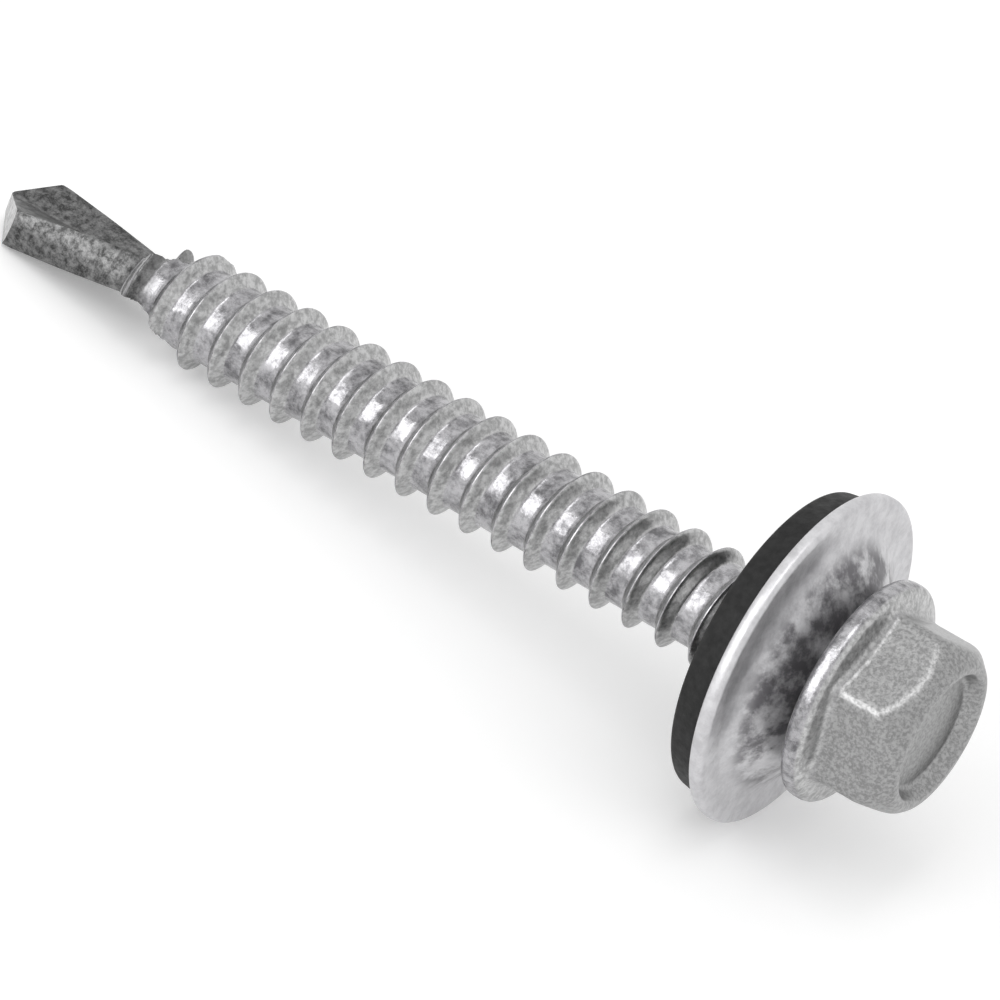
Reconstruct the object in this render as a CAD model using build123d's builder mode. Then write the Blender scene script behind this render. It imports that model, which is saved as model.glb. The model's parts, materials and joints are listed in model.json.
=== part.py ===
# Self-drilling screw with a hex flange head and a bonded sealing washer.
# Each piece is drawn along its own axis: Z runs from the drill point to the head
# and z = 0 is the flange's bearing face. At the end the assembly is laid down as it
# rests, on the washer's rim and the drill point. Millimetres and degrees.
import math
import os

from build123d import *

os.makedirs("parts", exist_ok=True)

# Driving dimensions: thread
thread_is_left_handed = True
thread_diameter = 5.4
root_diameter = 4.17
thread_pitch = 1.8
thread_flank_angle = 30
thread_crest_width = 0.12
thread_root_sink = 0.12
run_in_setback = 0.6
run_in_length = 2.1
run_out_length = 1.2
neck_length = 1.9

# Driving dimensions: shank and drill point
length_under_head = 47.8
point_angle = 98
point_relief_turn = 14
drill_diameter = 4.48
drill_heel_diameter = 4.1
drill_length = 8.2
crest_from_tip = 11.15
web_thickness = 0.8
flute_opening = 126
flute_length = 10.4
flute_twist = 4.3
flute_bottom_radius = 0.55
flute_run_out = 2.6

# Driving dimensions: head
flange_diameter = 10.6
flange_rim_height = 0.9
flange_slope_rise = 0.35
flange_edge_radius = 0.3
across_flats = 8.0
head_height = 4.8
hex_corner_radius = 0.35
hex_turn = 4
end_rim_diameter = 7.0
end_chamfer_angle = 47
end_rim_width = 0.4
recess_depth = 0.7
recess_wall_angle = 25
neck_fillet = 0.5

# Driving dimensions: washer of sheet steel with a vulcanised rubber seal
washer_diameter = 16.0
washer_hole_diameter = 6.8
washer_sheet = 0.7
washer_dish = 1.9
washer_rim_flat = 1.7
washer_bend_radius = 2.4
washer_edge_radius = 0.3
seal_setback = 0.5
seal_side_draft = 0.25
seal_face_width = 1.6
seal_thickness = 1.45

# Clearances
seat_gap = 0.25
bore_clearance = 0.08
bond_clearance = 0.03

# Sizes worked out from the driving dimensions
thread_radius = thread_diameter / 2
root_radius = root_diameter / 2
thread_depth = thread_radius - root_radius
drill_radius = drill_diameter / 2
turn_sense = -1 if thread_is_left_handed else 1
tip_z = -length_under_head
corner_z = tip_z + drill_radius / math.tan(math.radians(point_angle / 2))
drill_end_z = tip_z + drill_length
washer_radius = washer_diameter / 2
washer_hole_radius = washer_hole_diameter / 2
seal_bore_radius = thread_radius + bore_clearance


# Blank: drill body, core, neck and flange as one turned outline
flange_radius = flange_diameter / 2
flange_top_z = flange_rim_height + flange_slope_rise
with BuildPart() as blank:
    with BuildSketch(Plane.XZ) as blank_outline:
        with BuildLine():
            Polyline(
                (0, tip_z),
                (drill_radius, tip_z),
                (drill_heel_diameter / 2, drill_end_z),
                (root_radius, drill_end_z + thread_depth),
                (root_radius, 0),
                (flange_radius, 0),
                (flange_radius, flange_rim_height),
                (across_flats / 2, flange_top_z),
                (0, flange_top_z),
                close=True,
            )
        make_face()
        rim_corners = blank_outline.vertices().group_by(Axis.X)[-1]
        fillet(rim_corners, radius=flange_edge_radius)
        neck_corner = blank_outline.vertices().sort_by_distance((root_radius, 0, 0))[0]
        fillet(neck_corner, radius=neck_fillet)
    revolve(axis=Axis.Z)

# Drill point: each flank is ground flat and falls away from its cutting lip
flank_reach = 2 * drill_radius
with BuildPart() as flank_cut:
    with BuildSketch(Plane.XZ):
        with BuildLine():
            Polyline(
                (0, tip_z),
                (flank_reach, tip_z + 2 * (corner_z - tip_z)),
                (flank_reach, tip_z - drill_radius),
                (0, tip_z - drill_radius),
                close=True,
            )
        make_face()
    extrude(amount=flank_reach, both=True)

# Hex: rounded corners, a conical end and a shallow recess with a raised rim
end_rim_radius = end_rim_diameter / 2
recess_radius = end_rim_radius - end_rim_width
recess_floor_radius = recess_radius - recess_depth * math.tan(math.radians(recess_wall_angle))
cone_drop = head_height * math.tan(math.radians(90 - end_chamfer_angle))
with BuildPart() as hex_head:
    with BuildSketch(Plane.XY.offset(flange_rim_height)) as hex_outline:
        RegularPolygon(across_flats / 2, 6, major_radius=False, rotation=hex_turn)
        fillet(hex_outline.vertices(), radius=hex_corner_radius)
    extrude(amount=head_height - flange_rim_height)
    with BuildSketch(Plane.XZ) as end_cone:
        with BuildLine():
            Polyline(
                (0, 0),
                (end_rim_radius + cone_drop, 0),
                (end_rim_radius, head_height),
                (0, head_height),
                close=True,
            )
        make_face()
    revolve(axis=Axis.Z, mode=Mode.INTERSECT)
    with BuildSketch(Plane.XZ) as recess_outline:
        with BuildLine():
            Polyline(
                (0, head_height - recess_depth),
                (recess_floor_radius, head_height - recess_depth),
                (recess_radius, head_height),
                (0, head_height),
                close=True,
            )
        make_face()
    revolve(axis=Axis.Z, mode=Mode.SUBTRACT)

# Thread: one ridge swept along a helix, faded at both ends by a tapered envelope
thread_start_z = tip_z + crest_from_tip - 2 * thread_pitch
thread_end_z = -neck_length
ridge_half_width = thread_crest_width / 2 + (
    thread_depth + thread_root_sink
) * math.tan(math.radians(thread_flank_angle))
with BuildPart() as ridge:
    with BuildLine() as ridge_path:
        Helix(
            pitch=thread_pitch,
            height=thread_end_z - thread_start_z,
            radius=root_radius,
            center=(0, 0, thread_start_z),
            lefthand=thread_is_left_handed,
        )
    ridge_start = Plane(
        origin=ridge_path.line @ 0, x_dir=(1, 0, 0), z_dir=ridge_path.line % 0
    )
    with BuildSketch(ridge_start):
        with BuildLine():
            Polyline(
                (-thread_root_sink, -ridge_half_width),
                (thread_depth, -thread_crest_width / 2),
                (thread_depth, thread_crest_width / 2),
                (-thread_root_sink, ridge_half_width),
                close=True,
            )
        make_face()
    sweep(is_frenet=True)

envelope_radius = thread_radius + thread_depth / 4
envelope_foot = root_radius - thread_root_sink / 2
run_in_z = thread_start_z + run_in_setback
with BuildPart() as thread:
    add(ridge.part)
    with BuildSketch(Plane.XZ) as envelope:
        with BuildLine():
            Polyline(
                (0, run_in_z),
                (envelope_foot, run_in_z),
                (envelope_radius, run_in_z + run_in_length),
                (envelope_radius, thread_end_z - run_out_length),
                (envelope_foot, thread_end_z),
                (0, thread_end_z),
                close=True,
            )
        make_face()
    revolve(axis=Axis.Z, mode=Mode.INTERSECT)


def flute_section(height, web_half):
    """Wedge between two drill lands, turned with the flute's twist."""
    half_opening = math.radians(flute_opening / 2)
    reach = 4.5
    wall_x = (drill_radius * math.cos(half_opening) - web_thickness / 2) * reach
    wall_y = drill_radius * math.sin(half_opening) * reach
    turn = turn_sense * flute_twist * (height - corner_z)
    with BuildSketch(Plane.XY.offset(height)) as section:
        with BuildLine():
            Polyline(
                (web_half, 0),
                (web_half + wall_x, wall_y),
                (web_half + wall_x, -wall_y),
                close=True,
            )
        make_face()
        fillet(section.vertices().sort_by(Axis.X)[0], radius=flute_bottom_radius)
    return section.sketch.rotate(Axis.Z, turn)


# Flutes: two twisted wedges that run out where the thread begins
flute_full_z = tip_z + flute_length - flute_run_out / 2
flute_steps = 4
with BuildPart() as flute:
    lead = corner_z - tip_z
    sections = [flute_section(tip_z - lead / 2, web_thickness / 2)]
    for step in range(flute_steps + 1):
        height = corner_z + (flute_full_z - corner_z) * step / flute_steps
        sections.append(flute_section(height, web_thickness / 2))
    sections.append(flute_section(flute_full_z + flute_run_out / 2, drill_radius / 2))
    sections.append(flute_section(flute_full_z + flute_run_out, thread_radius * 1.1))
    loft(sections)

flank_direction = 90 + turn_sense * point_relief_turn
with BuildPart() as upright_screw:
    add(blank.part)
    add(hex_head.part)
    add(thread.part)
    with PolarLocations(0, 2, start_angle=flank_direction):
        add(flank_cut.part, mode=Mode.SUBTRACT)
    with PolarLocations(0, 2):
        add(flute.part, mode=Mode.SUBTRACT)

# Steel washer: a dished sheet whose rim is flat and whose hole stands up to the flange
hole_top_z = -seat_gap
rim_top_z = hole_top_z - washer_dish
bend_at = washer_radius - washer_rim_flat
with BuildPart() as upright_washer:
    with BuildSketch(Plane.XZ) as sheet:
        with BuildLine():
            FilletPolyline(
                (washer_hole_radius, hole_top_z),
                (bend_at, rim_top_z),
                (washer_radius, rim_top_z),
                radius=washer_bend_radius,
            )
            Line((washer_radius, rim_top_z), (washer_radius, rim_top_z - washer_sheet))
            FilletPolyline(
                (washer_radius, rim_top_z - washer_sheet),
                (bend_at, rim_top_z - washer_sheet),
                (washer_hole_radius, hole_top_z - washer_sheet),
                radius=washer_bend_radius,
            )
            Line((washer_hole_radius, hole_top_z - washer_sheet), (washer_hole_radius, hole_top_z))
        make_face()
        fillet(sheet.vertices().group_by(Axis.X)[-1], radius=washer_edge_radius)
    revolve(axis=Axis.Z)

# Rubber seal: vulcanised under the sheet, with a bore that clears the thread
seal_top_z = hole_top_z - washer_sheet - bond_clearance
seal_rim_z = rim_top_z - washer_sheet - bond_clearance
seal_face_z = seal_rim_z - seal_thickness
seal_top_radius = washer_radius - seal_setback
seal_face_radius = seal_top_radius - seal_side_draft
seal_bend_at = seal_face_radius - seal_face_width
with BuildPart() as upright_seal:
    with BuildSketch(Plane.XZ) as seal_outline:
        with BuildLine():
            FilletPolyline(
                (washer_hole_radius, seal_top_z),
                (bend_at, seal_rim_z),
                (seal_top_radius, seal_rim_z),
                radius=washer_bend_radius,
            )
            Line((seal_top_radius, seal_rim_z), (seal_face_radius, seal_face_z))
            FilletPolyline(
                (seal_face_radius, seal_face_z),
                (seal_bend_at, seal_face_z),
                (seal_bore_radius, seal_top_z - seal_thickness),
                radius=washer_bend_radius,
            )
            Polyline(
                (seal_bore_radius, seal_top_z - seal_thickness),
                (seal_bore_radius, seal_top_z),
                (washer_hole_radius, seal_top_z),
            )
        make_face()
    revolve(axis=Axis.Z)

# Rest: the assembly lies on the washer's rounded rim and on two land edges of the
# drill point, with a flute turned down. Both touch the floor at this tilt.
rim_round_x = washer_radius - washer_edge_radius
rim_round_z = rim_top_z - washer_edge_radius
land_edge_x = drill_radius * math.cos(math.radians(flute_opening / 2))
lip_from_flank = math.radians(90 - flute_opening / 2 + point_relief_turn)
lip_corner_z = tip_z + (corner_z - tip_z) * math.cos(lip_from_flank)
rest_run = rim_round_z - lip_corner_z
rest_rise = rim_round_x - land_edge_x
rest_tilt = math.atan2(rest_rise, rest_run) + math.asin(
    washer_edge_radius / math.hypot(rest_run, rest_rise)
)
axis_direction = (math.cos(rest_tilt), 0, math.sin(rest_tilt))
upward_direction = (-math.sin(rest_tilt), 0, math.cos(rest_tilt))
tilted_plane = Plane(origin=(0, 0, 0), x_dir=upward_direction, z_dir=axis_direction)
upright_pieces = [upright_screw.part, upright_washer.part, upright_seal.part]
tilted_box = Compound(
    children=[tilted_plane.location * piece for piece in upright_pieces]
).bounding_box()
seat_point = Vector(-tilted_box.center().X, -tilted_box.center().Y, -tilted_box.min.Z)
rest_plane = Plane(origin=seat_point, x_dir=upward_direction, z_dir=axis_direction)

# Finished pieces in the rest frame: X along the floor towards the head, Z up
with BuildPart() as screw:
    with Locations(rest_plane.location):
        add(upright_screw.part)
screw.part.label = "screw"
export_step(screw.part, "parts/screw.step")

with BuildPart() as steel_washer:
    with Locations(rest_plane.location):
        add(upright_washer.part)
steel_washer.part.label = "steel_washer"
export_step(steel_washer.part, "parts/steel_washer.step")

with BuildPart() as rubber_seal:
    with Locations(rest_plane.location):
        add(upright_seal.part)
rubber_seal.part.label = "rubber_seal"
export_step(rubber_seal.part, "parts/rubber_seal.step")
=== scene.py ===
import json
import math

import bpy
import numpy as np
from mathutils import Matrix, Vector
from mathutils import noise as lumps


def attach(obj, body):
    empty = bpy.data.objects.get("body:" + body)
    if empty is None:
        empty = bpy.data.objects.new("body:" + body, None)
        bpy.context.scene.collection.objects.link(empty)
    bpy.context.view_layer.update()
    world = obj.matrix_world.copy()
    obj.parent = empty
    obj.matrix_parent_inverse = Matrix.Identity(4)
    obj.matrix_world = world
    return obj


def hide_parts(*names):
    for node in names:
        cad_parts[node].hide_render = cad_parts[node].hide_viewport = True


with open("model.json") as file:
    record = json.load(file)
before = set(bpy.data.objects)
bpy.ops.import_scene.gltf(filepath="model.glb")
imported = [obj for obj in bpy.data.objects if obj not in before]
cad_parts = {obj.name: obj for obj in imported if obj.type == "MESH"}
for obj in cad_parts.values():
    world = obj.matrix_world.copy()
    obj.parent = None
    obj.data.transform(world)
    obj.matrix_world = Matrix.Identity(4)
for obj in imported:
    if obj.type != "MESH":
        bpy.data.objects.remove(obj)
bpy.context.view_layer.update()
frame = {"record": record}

MM = 0.001

# ---------------------------------------------------------------- sizes in millimetres
# Thread
THREAD_RADIUS = 2.7
ROOT_RADIUS = 2.085
THREAD_DEPTH = THREAD_RADIUS - ROOT_RADIUS
PITCH = 1.8
FLANK_ANGLE = math.radians(30)
CREST_WIDTH = 0.12
CREST_ROUNDING = 0.22
CREST_ALLOWANCE = 0.02
ROOT_ROUNDING = 0.24
THREAD_END_Z = -1.9
RUN_OUT = 1.2
FADE_ROUNDING = 0.1
FOOT_BELOW_ROOT = 0.06

# Drill point
TIP_Z = -47.8
POINT_SLOPE = 1 / math.tan(math.radians(98 / 2))
CHISEL_SLOPE = 0.14
FLANK_DIRECTION = math.radians(90 - 14)
DRILL_RADIUS = 2.24
HEEL_RADIUS = 2.05
CORNER_Z = TIP_Z + DRILL_RADIUS * POINT_SLOPE
DRILL_END_Z = TIP_Z + 8.2
THREAD_START_Z = TIP_Z + 11.15 - 2 * PITCH
RUN_IN_Z = THREAD_START_Z + 0.4
RUN_IN = 1.7
WEB_HALF = 0.4
FLUTE_HALF_OPENING = math.radians(126 / 2)
FLUTE_TWIST = math.radians(4.3)
FLUTE_BOTTOM_RADIUS = 0.55
FLUTE_EDGE_ROUNDING = 0.04
FLUTE_LENGTH = 10.4
FLUTE_RUN_OUT = 2.6
FLUTE_FULL_Z = TIP_Z + FLUTE_LENGTH - FLUTE_RUN_OUT / 2
FLUTE_END_Z = FLUTE_FULL_Z + FLUTE_RUN_OUT

# Torn metal at the flutes' end: a rim along the flute's edge and a patch of crumbs
RIM_WIDTH = 0.45
RIM_PAST_FLUTE = 0.9
RIM_LENGTH = 1.2
RIM_HEIGHT = 0.22
CRUMBS_ANGLE = math.radians(-30)
CRUMBS_NARROWNESS = 24
CRUMBS_PAST_FLUTE = 0.3
CRUMBS_LENGTH = 0.7
CRUMBS_HEIGHT = 1.2
CRUMBS_UNEVENNESS = 1.8
SURFACE_WEAR = 0.012
LEAST_TORN_RADIUS = 0.5

# Head
HEAD_HEIGHT = 4.8
FLANGE_RADIUS = 5.3
FLANGE_RIM_HEIGHT = 0.9
FLANGE_SLOPE_RISE = 0.35
HEX_HALF = 4.0
HEX_CORNER_RADIUS = 0.55
HEX_CORNER_TURN = math.radians(4)
END_RIM_RADIUS = 3.5
END_RIM_WIDTH = 0.4
END_CHAMFER_SLOPE = math.tan(math.radians(47))
RECESS_DEPTH = 0.7
RECESS_FLOOR_RADIUS = 2.77
RECESS_INNER_RADIUS = 0.4

# Washer and seal
WASHER_RADIUS = 7.99
HOLE_RADIUS = 3.4
SHEET = 0.7
HOLE_TOP_Z = -0.25
RIM_TOP_Z = HOLE_TOP_Z - 1.9
BEND_AT = WASHER_RADIUS - 1.7
SEAL_TOP_RADIUS = WASHER_RADIUS - 0.5
SEAL_FACE_RADIUS = SEAL_TOP_RADIUS - 0.25
SEAL_BEND_AT = SEAL_FACE_RADIUS - 1.6
SEAL_BORE_RADIUS = THREAD_RADIUS + 0.08
SEAL_THICKNESS = 1.45
BOND_GAP = 0.03

# How far each rounded edge is cut back from its corner
NECK_CUT = 0.5
FLANGE_CUT = 0.35
HEX_FOOT_CUT = 0.42
HEX_TOP_CUT = 0.5
END_RIM_OUTER_CUT = 0.18
END_RIM_INNER_CUT = 0.15
RECESS_CUT = 0.2
BEND_CUT = 0.72
HOLE_LOWER_CUT = 0.1
HOLE_UPPER_CUT = 0.18
WASHER_RIM_CUT = 0.3
SEAL_BORE_FACE_CUT = 0.15
SEAL_BORE_TOP_CUT = 0.1
SEAL_RIM_CUT = 0.12
SEAL_FACE_CUT = 0.25

# ---------------------------------------------------------------- the screw's own frame
# Its Z runs along the shank towards the head and z = 0 is the flange's bearing face.
mounts = {m["name"]: m for m in frame["record"]["mounts"]}
axis_direction = Vector(mounts["hex_drive"]["axis"])
side_direction = Vector((0, -1, 0))
upward_direction = side_direction.cross(axis_direction)
bearing_point = Vector(mounts["hex_drive"]["pos_m"]) - axis_direction * HEAD_HEIGHT * MM
screw_axes = Matrix((upward_direction, side_direction, axis_direction)).transposed()


def in_world(x, y, z):
    """A point of the screw's own frame, in millimetres, as a place in the scene."""
    return bearing_point + screw_axes @ Vector((x, y, z)) * MM


def away(polar, around):
    """Direction that leaves the axis by polar degrees, around degrees about it from the top."""
    polar = math.radians(polar)
    around = math.radians(around)
    across = math.sin(polar)
    return screw_axes @ Vector(
        (across * math.cos(around), across * math.sin(around), math.cos(polar))
    )


# ---------------------------------------------------------------- camera
LENS = 205.9
SENSOR = 36
CLIP_START = 0.01
CLIP_END = 20
CAMERA_POLAR = 66.29
CAMERA_AROUND = 57.84
CAMERA_DISTANCE = 253.9
CAMERA_ROLL = 30.08
AIM_STATION = -18.63
AIM_ASIDE = 0.615

look_back = away(CAMERA_POLAR, CAMERA_AROUND)
aim = in_world(0, 0, AIM_STATION) + away(90, CAMERA_AROUND + 90) * AIM_ASIDE * MM
across_view = (axis_direction - look_back * axis_direction.dot(look_back)).normalized()
camera_x = Matrix.Rotation(math.radians(CAMERA_ROLL), 3, look_back) @ across_view
camera_y = look_back.cross(camera_x)

camera_data = bpy.data.cameras.new("camera")
camera_data.sensor_width = SENSOR
camera_data.lens = LENS
camera_data.clip_start = CLIP_START
camera_data.clip_end = CLIP_END
camera = bpy.data.objects.new("camera", camera_data)
turn = Matrix((camera_x, camera_y, look_back)).transposed().to_4x4()
camera.matrix_world = Matrix.Translation(aim + look_back * CAMERA_DISTANCE * MM) @ turn
bpy.context.scene.collection.objects.link(camera)
bpy.context.scene.camera = camera
bpy.context.scene.view_settings.view_transform = "Standard"


# ---------------------------------------------------------------- node helpers
def new_material(name):
    material = bpy.data.materials.new(name)
    material.use_nodes = True
    tree = material.node_tree
    tree.nodes.clear()
    output = tree.nodes.new("ShaderNodeOutputMaterial")
    shader = tree.nodes.new("ShaderNodeBsdfPrincipled")
    tree.links.new(shader.outputs["BSDF"], output.inputs["Surface"])
    return material, tree, shader


def object_place(tree):
    """Place on the object, in metres."""
    return tree.nodes.new("ShaderNodeTexCoord").outputs["Object"]


def grain(tree, scale, detail=3.0, roughness=0.55):
    """Noise that stays with the object, scale in features per millimetre."""
    node = tree.nodes.new("ShaderNodeTexNoise")
    node.inputs["Scale"].default_value = scale / MM
    node.inputs["Detail"].default_value = detail
    node.inputs["Roughness"].default_value = roughness
    tree.links.new(object_place(tree), node.inputs["Vector"])
    return node.outputs["Fac"]


def grey(level):
    return (level, level, level)


def ramp(tree, value, *stops):
    """Colour ramp; a stop is (position, grey level) or (position, (r, g, b))."""
    node = tree.nodes.new("ShaderNodeValToRGB")
    elements = node.color_ramp.elements
    while len(elements) < len(stops):
        elements.new(0.5)
    for element, (position, colour) in zip(elements, stops):
        element.position = position
        if not isinstance(colour, tuple):
            colour = grey(colour)
        element.color = (*colour, 1)
    tree.links.new(value, node.inputs["Fac"])
    return node.outputs["Color"]


def bump(tree, shader, value, distance, under=None):
    """Height in millimetres from a 0 to 1 value, on top of another bump where given."""
    node = tree.nodes.new("ShaderNodeBump")
    node.inputs["Distance"].default_value = distance * MM
    tree.links.new(value, node.inputs["Height"])
    if under is not None:
        tree.links.new(under.outputs["Normal"], node.inputs["Normal"])
    tree.links.new(node.outputs["Normal"], shader.inputs["Normal"])
    return node


def vector_math(tree, operation, vector, other=None, result="Vector"):
    node = tree.nodes.new("ShaderNodeVectorMath")
    node.operation = operation
    tree.links.new(vector, node.inputs[0])
    if other is not None:
        node.inputs[1].default_value = other
    return node.outputs[result]


def dot(tree, vector, direction):
    return vector_math(tree, "DOT_PRODUCT", vector, direction, "Value")


def number_math(tree, operation, a, b):
    """Result of a math node; a and b are numbers or sockets."""
    node = tree.nodes.new("ShaderNodeMath")
    node.operation = operation
    for value, socket in ((a, node.inputs[0]), (b, node.inputs[1])):
        if isinstance(value, (int, float)):
            socket.default_value = value
        else:
            tree.links.new(value, socket)
    return node.outputs[0]


def times(tree, a, b):
    return number_math(tree, "MULTIPLY", a, b)


def between(tree, value, low, high):
    """0 at low, 1 at high, smooth in between."""
    node = tree.nodes.new("ShaderNodeMapRange")
    node.interpolation_type = "SMOOTHSTEP"
    node.inputs["From Min"].default_value = low
    node.inputs["From Max"].default_value = high
    tree.links.new(value, node.inputs["Value"])
    return node.outputs["Result"]


def along_axis(tree):
    """Distance from the scene's origin along the screw's axis, in metres."""
    return dot(tree, object_place(tree), axis_direction)


def station(z):
    """What along_axis gives at z millimetres in the screw's own frame."""
    return bearing_point.dot(axis_direction) + z * MM


def from_axis(tree):
    """Distance from the screw's axis, in metres."""
    lever = vector_math(tree, "SUBTRACT", object_place(tree), bearing_point)
    lever = vector_math(tree, "CROSS_PRODUCT", lever, axis_direction)
    return vector_math(tree, "LENGTH", lever, result="Value")


def blend(tree, factor, otherwise, chosen):
    """Colour between two colours or colour sockets."""
    node = tree.nodes.new("ShaderNodeMix")
    node.data_type = "RGBA"
    tree.links.new(factor, node.inputs["Factor"])
    for value, socket in ((otherwise, node.inputs[6]), (chosen, node.inputs[7])):
        if isinstance(value, tuple):
            socket.default_value = (*value, 1)
        else:
            tree.links.new(value, socket)
    return node.outputs[2]


def seen_directly(tree):
    """1 for what the camera, metal and glass see, 0 for light that only falls on things."""
    path = tree.nodes.new("ShaderNodeLightPath")
    total = path.outputs["Is Camera Ray"]
    for kind in ("Is Glossy Ray", "Is Transmission Ray"):
        total = number_math(tree, "MAXIMUM", total, path.outputs[kind])
    return total


# ---------------------------------------------------------------- materials
STEEL_DARK = (0.15, 0.148, 0.155)
STEEL_LIGHT = (0.48, 0.475, 0.49)
FLANK_ROUGHNESS = 0.34
HEAD_ROUGHNESS = 0.33
DRILL_ROUGHNESS = 0.42
DRILL_DULLING = 0.6
HEAD_STARTS_Z = 1.0
HEAD_FULL_Z = 1.5
DRILL_FADE = 1.2

SHEET_DARK = (0.52, 0.515, 0.53)
SHEET_LIGHT = (0.66, 0.655, 0.67)
SHEET_METALLIC = 0.75
# Painted shade and painted reflection: the dark that the head's flange and hex cast and mirror
# onto the washer round the hole
PAINTED_SHADE_DARK = (0.16, 0.155, 0.165)
PAINTED_SHADE_STARTS = 6.4
PAINTED_SHADE_FULL = 5.3

DENT_HEIGHT = 0.02


def plated_steel(name, metallic, dark, light, smooth, rough, grain_height):
    """Zinc-plated steel: dents and a fine grain; also returns its patches of tone and gloss."""
    material, tree, shader = new_material(name)
    shader.inputs["Metallic"].default_value = metallic
    patches = grain(tree, 1.3, detail=5, roughness=0.75)
    tone = ramp(tree, patches, (0.36, dark), (0.6, light))
    gloss = ramp(tree, grain(tree, 2.2, detail=5), (0.35, smooth), (0.68, rough))
    dents = bump(tree, shader, grain(tree, 1.6, detail=2), DENT_HEIGHT)
    bump(tree, shader, grain(tree, 6.0, detail=3), grain_height, under=dents)
    return material, tree, shader, tone, gloss


def washer_sheet_steel(name):
    """Satin sheet steel, darkened in patches round the hole by painted shade and painted
    reflection of the head.
    """
    material, tree, shader, tone, gloss = plated_steel(
        name, SHEET_METALLIC, SHEET_DARK, SHEET_LIGHT, 0.34, 0.44, 0.004
    )
    # Painted shade and painted reflection: the sheet is darkened in patches inside this radius,
    # next to the head's flange.
    painted_shade_near_hole = between(tree, from_axis(tree), PAINTED_SHADE_STARTS * MM, PAINTED_SHADE_FULL * MM)
    patches = between(tree, grain(tree, 0.7, detail=5, roughness=0.65), 0.38, 0.62)
    painted_shade_colour = blend(tree, times(tree, painted_shade_near_hole, patches), tone, PAINTED_SHADE_DARK)
    tree.links.new(painted_shade_colour, shader.inputs["Base Color"])
    tree.links.new(gloss, shader.inputs["Roughness"])
    return material


def screw_steel(name):
    """Plated steel, speckled on the head, mottled on thread flanks, darkened on the drill body
    by painted shade.
    """
    material, tree, shader, tone, gloss = plated_steel(
        name, 1, STEEL_DARK, STEEL_LIGHT, 0.16, 0.34, 0.011
    )
    along = along_axis(tree)
    on_head = between(tree, along, station(HEAD_STARTS_Z), station(HEAD_FULL_Z))
    on_drill = between(tree, along, station(FLUTE_FULL_Z + DRILL_FADE), station(FLUTE_FULL_Z))
    normal = tree.nodes.new("ShaderNodeNewGeometry").outputs["Normal"]
    facing = dot(tree, normal, axis_direction)
    off_point = between(tree, facing, -0.5, -0.3)
    drill_body = times(tree, on_drill, off_point)
    flank = between(tree, times(tree, facing, facing), 0.1, 0.45)

    # Painted shade: the whole drill body, flutes and lands alike, is darkened to stand in for
    # the shade of its concave flutes.
    drill_painted_shade = ramp(tree, grain(tree, 2.5, detail=5, roughness=0.8), (0.4, 0.05), (0.62, 0.22))
    speckle = ramp(tree, grain(tree, 6.0, detail=3, roughness=0.7), (0.4, 0.24), (0.6, 0.38))
    rolled = ramp(tree, grain(tree, 3.0, detail=4, roughness=0.75), (0.4, 0.32), (0.6, 0.58))
    colour = blend(tree, flank, tone, rolled)
    colour = blend(tree, on_head, colour, speckle)
    colour = blend(tree, drill_body, colour, drill_painted_shade)
    tree.links.new(colour, shader.inputs["Base Color"])

    dull = blend(tree, flank, gloss, grey(FLANK_ROUGHNESS))
    dull = blend(tree, on_head, dull, grey(HEAD_ROUGHNESS))
    dull = blend(tree, times(tree, drill_body, DRILL_DULLING), dull, grey(DRILL_ROUGHNESS))
    tree.links.new(dull, shader.inputs["Roughness"])
    return material


def black_rubber(name):
    material, tree, shader = new_material(name)
    tone = ramp(tree, grain(tree, 3.0, detail=5), (0.35, 0.006), (0.7, 0.016))
    tree.links.new(tone, shader.inputs["Base Color"])
    gloss = ramp(tree, grain(tree, 2.0), (0.3, 0.5), (0.7, 0.7))
    tree.links.new(gloss, shader.inputs["Roughness"])
    shader.inputs["Specular IOR Level"].default_value = 0.3
    bump(tree, shader, grain(tree, 5.0, detail=4), 0.02)
    return material


zinc_steel = screw_steel("zinc_steel")
washer_steel = washer_sheet_steel("washer_steel")
seal_rubber = black_rubber("seal_rubber")

# ---------------------------------------------------------------- mesh helpers
LATHE_COLUMNS = 256
LATHE_STEPS = 6
LATHE_SHARP = 50
LONGEST_CUT_SHARE = 0.48


def smooth_min(a, b, width):
    """The smaller of two values, rounded off where they are less than width apart."""
    overlap = np.maximum(width - np.abs(a - b), 0) / width
    return np.minimum(a, b) - overlap**2 * width / 4


def smooth_max(a, b, width):
    return -smooth_min(-a, -b, width)


def rounded(corners, steps=5, closed=False):
    """Rows of (r, z) along a polyline of (r, z, cut), each corner replaced by a short curve."""
    rows = []
    columns = max(np.size(value) for corner in corners for value in corner[:2])
    points = [np.array([value * np.ones(columns) for value in corner[:2]]) for corner in corners]
    for index, (point, corner) in enumerate(zip(points, corners)):
        cut = corner[2]
        at_end = index in (0, len(points) - 1) and not closed
        if cut == 0 or at_end:
            rows.append(point)
            continue
        ends = []
        for neighbour in (points[index - 1], points[(index + 1) % len(points)]):
            reach = neighbour - point
            share = np.minimum(cut / np.hypot(*reach), LONGEST_CUT_SHARE)
            ends.append(point + reach * share)
        for step in range(steps + 1):
            t = step / steps
            rows.append((1 - t) ** 2 * ends[0] + 2 * t * (1 - t) * point + t**2 * ends[1])
    return rows


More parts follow.
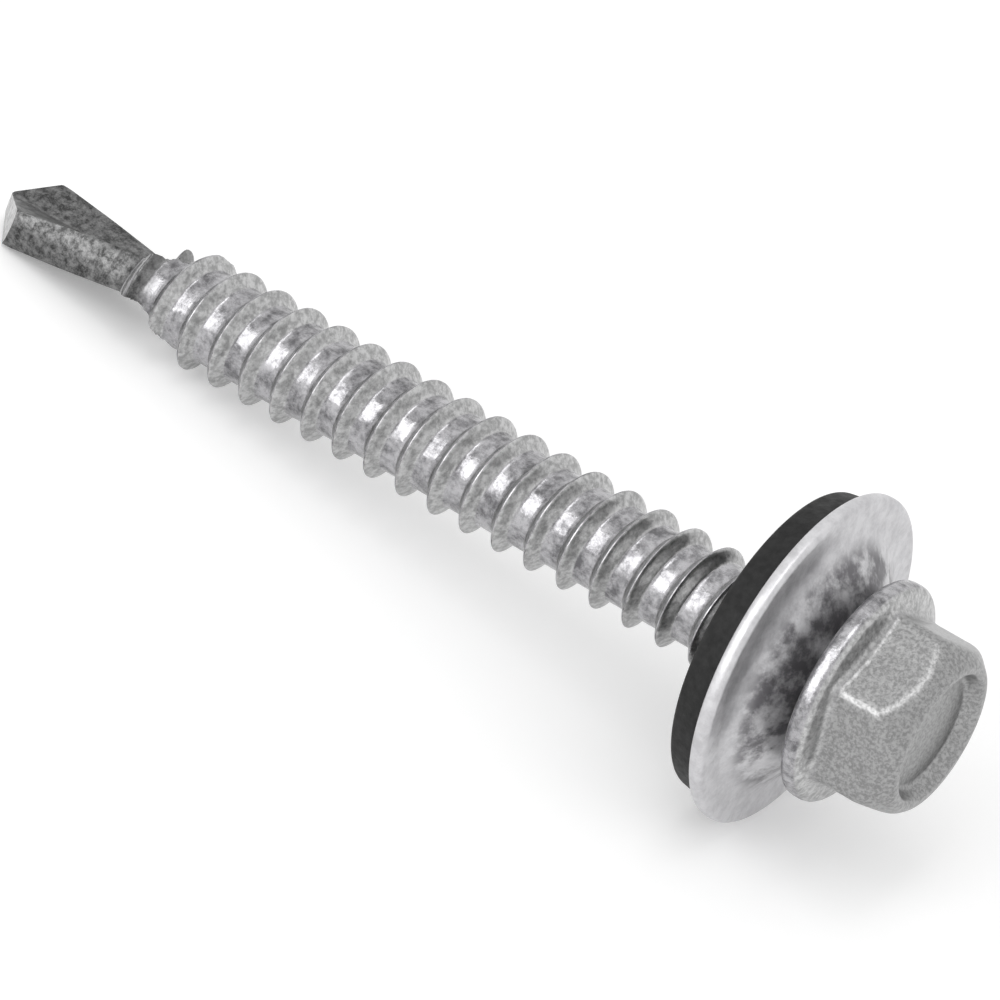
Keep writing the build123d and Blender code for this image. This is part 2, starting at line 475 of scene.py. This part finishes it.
class Shell:
    """Vertices and faces of one closed skin, collected ring by ring."""

    def __init__(self, columns):
        self.columns = columns
        self.points = []
        self.faces = []

    def vertex(self, radius, angle, z):
        self.points.append((radius * math.cos(angle), radius * math.sin(angle), z))
        return len(self.points) - 1

    def ring(self, radius, angle, z):
        return [self.vertex(*place) for place in zip(*np.broadcast_arrays(radius, angle, z))]

    def centre(self, z):
        return [self.vertex(0, 0, z)] * self.columns

    def face(self, *numbers):
        """A face without repeated corners; none where fewer than three are left."""
        loop = [n for i, n in enumerate(numbers) if n != numbers[i - 1]]
        if len(set(loop)) == len(loop) > 2:
            self.faces.append(loop)

    def band(self, low, high):
        """Faces between two rings."""
        for j in range(self.columns):
            k = (j + 1) % self.columns
            self.face(low[j], low[k], high[k], high[j])

    def grow(self, ring, radius, angle, z):
        """A new ring, joined to the given one."""
        next_ring = self.ring(radius, angle, z)
        self.band(ring, next_ring)
        return next_ring

    def build(self, name, material, sharp):
        mesh = bpy.data.meshes.new(name)
        mesh.from_pydata([in_world(*point) for point in self.points], [], self.faces)
        mesh.shade_smooth()
        mesh.set_sharp_from_angle(angle=math.radians(sharp))
        mesh.materials.append(material)
        thing = bpy.data.objects.new(name, mesh)
        bpy.context.scene.collection.objects.link(thing)
        normals = thing.modifiers.new("normals", "WEIGHTED_NORMAL")
        normals.keep_sharp = True
        return thing


def lathe(name, corners, material):
    """Closed ring turned about the screw's axis from a rounded outline."""
    angle = np.arange(LATHE_COLUMNS) * math.tau / LATHE_COLUMNS
    shell = Shell(LATHE_COLUMNS)
    outline = rounded(corners, LATHE_STEPS, closed=True)
    rings = [shell.ring(radius[0], angle, z[0]) for radius, z in outline]
    for low, high in zip(rings, rings[1:] + rings[:1]):
        shell.band(high, low)
    return shell.build(name, material, LATHE_SHARP)


# ---------------------------------------------------------------- forms of the screw
def blank_radius(z):
    """Turned blank: drill body and core."""
    stations = [TIP_Z, DRILL_END_Z, DRILL_END_Z + THREAD_DEPTH]
    return np.interp(z, stations, [DRILL_RADIUS, HEEL_RADIUS, ROOT_RADIUS])


def ridge_radius(angle, z):
    """Left-handed thread ridge that fades at both ends."""
    turns = (z - THREAD_START_Z) / PITCH + angle / math.tau
    off_crest = np.abs(turns - np.round(turns)) * PITCH
    flank = THREAD_RADIUS - (off_crest - CREST_WIDTH / 2) / math.tan(FLANK_ANGLE)
    ridge = smooth_min(flank, THREAD_RADIUS + CREST_ALLOWANCE, CREST_ROUNDING)
    foot = ROOT_RADIUS - FOOT_BELOW_ROOT
    top = THREAD_RADIUS + THREAD_DEPTH / 4
    stations = [RUN_IN_Z, RUN_IN_Z + RUN_IN, THREAD_END_Z - RUN_OUT, THREAD_END_Z]
    fade = np.interp(z, stations, [foot, top, top, foot])
    return smooth_min(ridge, fade, FADE_ROUNDING)


def flute_turn(z):
    """How far the flutes have twisted at z, in radians."""
    return FLUTE_TWIST * (CORNER_Z - np.clip(z, CORNER_Z, FLUTE_END_Z))


def flute_radius(angle, z):
    """How far out from the axis a flute's wall stands."""
    wall_x = DRILL_RADIUS * math.cos(FLUTE_HALF_OPENING) - WEB_HALF
    wall_y = DRILL_RADIUS * math.sin(FLUTE_HALF_OPENING)
    wall = math.atan2(wall_y, wall_x)
    stations = [FLUTE_FULL_Z, FLUTE_FULL_Z + FLUTE_RUN_OUT / 2, FLUTE_END_Z]
    web = np.interp(z, stations, [WEB_HALF, DRILL_RADIUS / 2, THREAD_RADIUS * 1.1])
    off = np.abs((angle - flute_turn(z) + math.pi / 2) % math.pi - math.pi / 2)
    bottom = FLUTE_BOTTOM_RADIUS
    arc_x = web + bottom / math.sin(wall)
    touch = np.arctan2(bottom * math.cos(wall), arc_x - bottom * math.sin(wall))
    inside = np.maximum(bottom**2 - (arc_x * np.sin(off)) ** 2, 0)
    arc = arc_x * np.cos(off) - np.sqrt(inside)
    slope = np.maximum(np.cos(off) * math.tan(wall) - np.sin(off), 1e-3)
    return np.where(off < touch, arc, web * math.tan(wall) / slope)


def screw_radius(angle, z):
    """Surface of drill body and shank."""
    body = blank_radius(z)
    threaded = smooth_max(body, ridge_radius(angle, z), ROOT_ROUNDING)
    body = np.where(z < THREAD_START_Z, body, threaded)
    return smooth_min(body, flute_radius(angle, z), FLUTE_EDGE_ROUNDING)


def bell(offset, width):
    """1 at no offset, falling off smoothly on both sides."""
    return math.exp(-((offset / width) ** 2))


def lump(place, scale):
    return lumps.noise(place * scale)


def torn(x, y, z):
    """The point, moved out or in by the torn metal where the flutes run out into the thread."""
    angle = math.atan2(y, x)
    radius = math.hypot(x, y)
    place = Vector((x, y, z))
    edge = float(flute_radius(angle, z)) - float(blank_radius(z)) - THREAD_DEPTH / 2
    rim = bell(edge, RIM_WIDTH) * bell(z - FLUTE_FULL_Z - RIM_PAST_FLUTE, RIM_LENGTH)
    size = rim * RIM_HEIGHT * lump(place, 3.1)
    crumbs = math.cos((angle - CRUMBS_ANGLE) / 2) ** CRUMBS_NARROWNESS
    crumbs *= bell(z - FLUTE_FULL_Z - CRUMBS_PAST_FLUTE, CRUMBS_LENGTH)
    size += crumbs * (CRUMBS_HEIGHT + CRUMBS_UNEVENNESS * lump(place, 2.3))
    size -= SURFACE_WEAR * abs(lump(place, 1.3))
    growth = 1 + size / max(radius, LEAST_TORN_RADIUS)
    return x * growth, y * growth, z


def hex_radius(angle):
    """Hexagon with rounded corners."""
    off_corner = np.abs((angle - HEX_CORNER_TURN + math.pi / 6) % (math.pi / 3) - math.pi / 6)
    flat = HEX_HALF / np.cos(math.pi / 6 - off_corner)
    centre = (HEX_HALF - HEX_CORNER_RADIUS) / math.cos(math.pi / 6)
    inside = np.maximum(HEX_CORNER_RADIUS**2 - (centre * np.sin(off_corner)) ** 2, 0)
    corner = centre * np.cos(off_corner) + np.sqrt(inside)
    touch = math.atan2(
        HEX_CORNER_RADIUS * math.sin(math.pi / 6),
        centre + HEX_CORNER_RADIUS * math.cos(math.pi / 6),
    )
    return np.where(off_corner < touch, corner, flat)


# ---------------------------------------------------------------- mesh of the screw
# Columns, in degrees off a flute's edge or a hex corner, and even ones in between
EDGE_COLUMNS = (-2.4, -1.2, -0.4, 0.4, 1.2, 2.4)
CORNER_COLUMNS = (-2.6, -1.8, -1.1, -0.4, 0.4, 1.1, 1.8, 2.6)
EVEN_COLUMNS = 100
LEAST_COLUMN_GAP = 1.3

# Rings, as shares of the point's radius and of the drill body's length
POINT_RINGS = (0.08, 0.2, 0.4, 0.6, 0.8, 0.9, 0.97, 1.0)
BODY_RINGS = [0.01, 0.03] + list(np.linspace(0.06, 1, 36))

# Rows of one thread turn, in millimetres off the crest
ROW_STEPS = [0.025, 0.07, 0.13, 0.24, 0.36, 0.43, 0.52, 0.66]
THREAD_ROWS = [-0.86] + [-step for step in reversed(ROW_STEPS)] + ROW_STEPS

DRILL_TOP_Z = THREAD_START_Z - 0.3
NECK_Z = THREAD_END_Z + 0.1
LAST_TURN = float(flute_turn(FLUTE_END_Z))
SCREW_SHARP = 38


def column_angles():
    """Angles of the mesh columns, closer together at the flutes' edges and the hex corners."""
    picked = []
    for flute in (0, math.pi):
        picked.append(flute + FLANK_DIRECTION + math.pi / 2)
        for edge in (flute - FLUTE_HALF_OPENING, flute + FLUTE_HALF_OPENING):
            picked += [edge + math.radians(d) for d in EDGE_COLUMNS]
    for corner in range(6):
        middle = HEX_CORNER_TURN + corner * math.pi / 3 - LAST_TURN
        picked += [middle + math.radians(d) for d in CORNER_COLUMNS]
    picked = [angle % math.tau for angle in picked]
    for step in range(EVEN_COLUMNS):
        angle = step * math.tau / EVEN_COLUMNS
        gap = min(abs((angle - other + math.pi) % math.tau - math.pi) for other in picked)
        if gap > math.radians(LEAST_COLUMN_GAP):
            picked.append(angle)
    return np.array(sorted(picked))


def add_drill(shell, base):
    """Ground flanks from the chisel edge out, then the fluted body; returns the last ring."""
    edge = screw_radius(base, CORNER_Z)
    rise = np.maximum(POINT_SLOPE * np.abs(np.cos(base - FLANK_DIRECTION)), CHISEL_SLOPE)
    ring = shell.centre(TIP_Z)
    for share in POINT_RINGS:
        radius = edge * share
        ring = shell.grow(ring, radius, base, TIP_Z + radius * rise)
    start = TIP_Z + edge * rise
    for share in BODY_RINGS:
        z = start + (DRILL_TOP_Z - start) * share
        angle = base + flute_turn(z)
        ring = shell.grow(ring, screw_radius(angle, z), angle, z)
    return ring


def add_thread(shell, base, low_ring):
    """Rows that follow the helix, each joined at its end to the next turn's row."""
    high_angle = base + LAST_TURN
    high_ring = shell.ring(screw_radius(high_angle, NECK_Z), high_angle, NECK_Z)
    crest = THREAD_START_Z - PITCH * LAST_TURN / math.tau
    first = math.floor((DRILL_TOP_Z - crest) / PITCH) - 1
    last = math.ceil((NECK_Z - crest) / PITCH) + 2
    rows = []
    for start in [crest + n * PITCH + step for n in range(first, last) for step in THREAD_ROWS]:
        z = start - PITCH * base / math.tau
        angle = base + flute_turn(z)
        radius = screw_radius(angle, z)
        row = []
        for j in range(shell.columns):
            if z[j] <= DRILL_TOP_Z:
                row.append(low_ring[j])
            elif z[j] >= NECK_Z:
                row.append(high_ring[j])
            else:
                row.append(shell.vertex(radius[j], angle[j], z[j]))
        rows.append(row)
    per_turn = len(THREAD_ROWS)
    for index in range(len(rows) - 1):
        low, high = rows[index], rows[index + 1]
        for j in range(shell.columns - 1):
            shell.face(low[j], low[j + 1], high[j + 1], high[j])
        if index >= per_turn:
            low_next, high_next = rows[index - per_turn], rows[index + 1 - per_turn]
            shell.face(low[-1], low_next[0], high_next[0], high[-1])
    return high_ring, high_angle


def add_head(shell, ring, angle):
    """Neck, flange, hex, conical end and recess from one outline for each column."""
    hexagon = hex_radius(angle)
    flange_run = (FLANGE_RADIUS - hexagon) / (FLANGE_RADIUS - HEX_HALF)
    hex_foot_z = FLANGE_RIM_HEIGHT + FLANGE_SLOPE_RISE * flange_run
    hex_top_z = HEAD_HEIGHT - (hexagon - END_RIM_RADIUS) * END_CHAMFER_SLOPE
    recess_z = HEAD_HEIGHT - RECESS_DEPTH
    outline = [
        (ROOT_RADIUS, NECK_Z, 0),
        (ROOT_RADIUS, 0, NECK_CUT),
        (FLANGE_RADIUS, 0, FLANGE_CUT),
        (FLANGE_RADIUS, FLANGE_RIM_HEIGHT, FLANGE_CUT),
        (hexagon, hex_foot_z, HEX_FOOT_CUT),
        (hexagon, hex_top_z, HEX_TOP_CUT),
        (END_RIM_RADIUS, HEAD_HEIGHT, END_RIM_OUTER_CUT),
        (END_RIM_RADIUS - END_RIM_WIDTH, HEAD_HEIGHT, END_RIM_INNER_CUT),
        (RECESS_FLOOR_RADIUS, recess_z, RECESS_CUT),
        (RECESS_INNER_RADIUS, recess_z, 0),
    ]
    for radius, z in rounded(outline)[1:]:
        ring = shell.grow(ring, radius, angle, z)
    shell.band(ring, shell.centre(recess_z))


base = column_angles()
screw_shell = Shell(len(base))
drill_ring = add_drill(screw_shell, base)
neck_ring, neck_angle = add_thread(screw_shell, base, drill_ring)
screw_shell.points = [
    torn(x, y, z) if z > CORNER_Z else (x, y, z) for x, y, z in screw_shell.points
]
add_head(screw_shell, neck_ring, neck_angle)
screw_skin = screw_shell.build("screw_skin", zinc_steel, SCREW_SHARP)
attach(screw_skin, "screw")
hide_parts("screw")

# ---------------------------------------------------------------- washer and seal
washer_skin = lathe(
    "washer_skin",
    [
        (BEND_AT, RIM_TOP_Z - SHEET, BEND_CUT),
        (HOLE_RADIUS, HOLE_TOP_Z - SHEET, HOLE_LOWER_CUT),
        (HOLE_RADIUS, HOLE_TOP_Z, HOLE_UPPER_CUT),
        (BEND_AT, RIM_TOP_Z, BEND_CUT),
        (WASHER_RADIUS, RIM_TOP_Z, WASHER_RIM_CUT),
        (WASHER_RADIUS, RIM_TOP_Z - SHEET, WASHER_RIM_CUT),
    ],
    washer_steel,
)
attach(washer_skin, "seal_washer")
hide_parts("steel_washer")

seal_top_z = HOLE_TOP_Z - SHEET - BOND_GAP
seal_rim_z = RIM_TOP_Z - SHEET - BOND_GAP
seal_skin = lathe(
    "seal_skin",
    [
        (SEAL_BORE_RADIUS, seal_top_z - SEAL_THICKNESS, SEAL_BORE_FACE_CUT),
        (SEAL_BORE_RADIUS, seal_top_z, SEAL_BORE_TOP_CUT),
        (HOLE_RADIUS, seal_top_z, 0),
        (BEND_AT, seal_rim_z, BEND_CUT),
        (SEAL_TOP_RADIUS, seal_rim_z, SEAL_RIM_CUT),
        (SEAL_FACE_RADIUS, seal_rim_z - SEAL_THICKNESS, SEAL_FACE_CUT),
        (SEAL_BEND_AT, seal_rim_z - SEAL_THICKNESS, BEND_CUT),
    ],
    seal_rubber,
)
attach(seal_skin, "seal_washer")
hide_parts("rubber_seal")

# ---------------------------------------------------------------- floor
FLOOR_HALF = 3.0
FLOOR_COLOUR = grey(0.9)
FLOOR_ROUGHNESS = 0.9
FLOOR_GLOW = 0.22
WHITE = grey(1.0)

floor_mesh = bpy.data.meshes.new("floor")
floor_corners = [
    (-FLOOR_HALF, -FLOOR_HALF, 0),
    (FLOOR_HALF, -FLOOR_HALF, 0),
    (FLOOR_HALF, FLOOR_HALF, 0),
    (-FLOOR_HALF, FLOOR_HALF, 0),
]
floor_mesh.from_pydata(floor_corners, [], [(0, 1, 2, 3)])
floor = bpy.data.objects.new("floor", floor_mesh)
bpy.context.scene.collection.objects.link(floor)
floor_material, tree, shader = new_material("floor_white")
shader.inputs["Base Color"].default_value = (*FLOOR_COLOUR, 1)
shader.inputs["Roughness"].default_value = FLOOR_ROUGHNESS
shader.inputs["Specular IOR Level"].default_value = 0
shader.inputs["Emission Color"].default_value = (*WHITE, 1)
glow = times(tree, seen_directly(tree), FLOOR_GLOW)
tree.links.new(glow, shader.inputs["Emission Strength"])
floor_mesh.materials.append(floor_material)

# ---------------------------------------------------------------- world
# White for camera, metal and glass alike; the fill only lights.
FILL = grey(0.75)

world = bpy.data.worlds.new("world")
bpy.context.scene.world = world
world.use_nodes = True
tree = world.node_tree
tree.nodes.clear()
output = tree.nodes.new("ShaderNodeOutputWorld")


def background(colour):
    node = tree.nodes.new("ShaderNodeBackground")
    node.inputs["Color"].default_value = (*colour, 1)
    return node.outputs[0]


seen = tree.nodes.new("ShaderNodeMixShader")
tree.links.new(seen_directly(tree), seen.inputs["Fac"])
tree.links.new(background(FILL), seen.inputs[1])
tree.links.new(background(WHITE), seen.inputs[2])
tree.links.new(seen.outputs[0], output.inputs["Surface"])

# ---------------------------------------------------------------- lamps
LAMP_DISTANCE = 0.5
LAMP_RADIANCE = 2.2


def lamp(name, polar, around, size_along, size_round):
    """Soft box that faces the middle of the screw, sized along and round the screw's axis."""
    data = bpy.data.lights.new(name, "AREA")
    data.shape = "RECTANGLE"
    data.size = size_round
    data.size_y = size_along
    data.energy = LAMP_RADIANCE * math.pi * size_along * size_round
    thing = bpy.data.objects.new(name, data)
    back = away(polar, around)
    up = (axis_direction - back * axis_direction.dot(back)).normalized()
    facing = Matrix((up.cross(back), up, back)).transposed().to_4x4()
    thing.matrix_world = Matrix.Translation(aim + back * LAMP_DISTANCE) @ facing
    bpy.context.scene.collection.objects.link(thing)


lamp("low_box", polar=108, around=CAMERA_AROUND + 12, size_along=0.29, size_round=0.577)
lamp("high_box", polar=86, around=CAMERA_AROUND - 36, size_along=0.14, size_round=0.38)
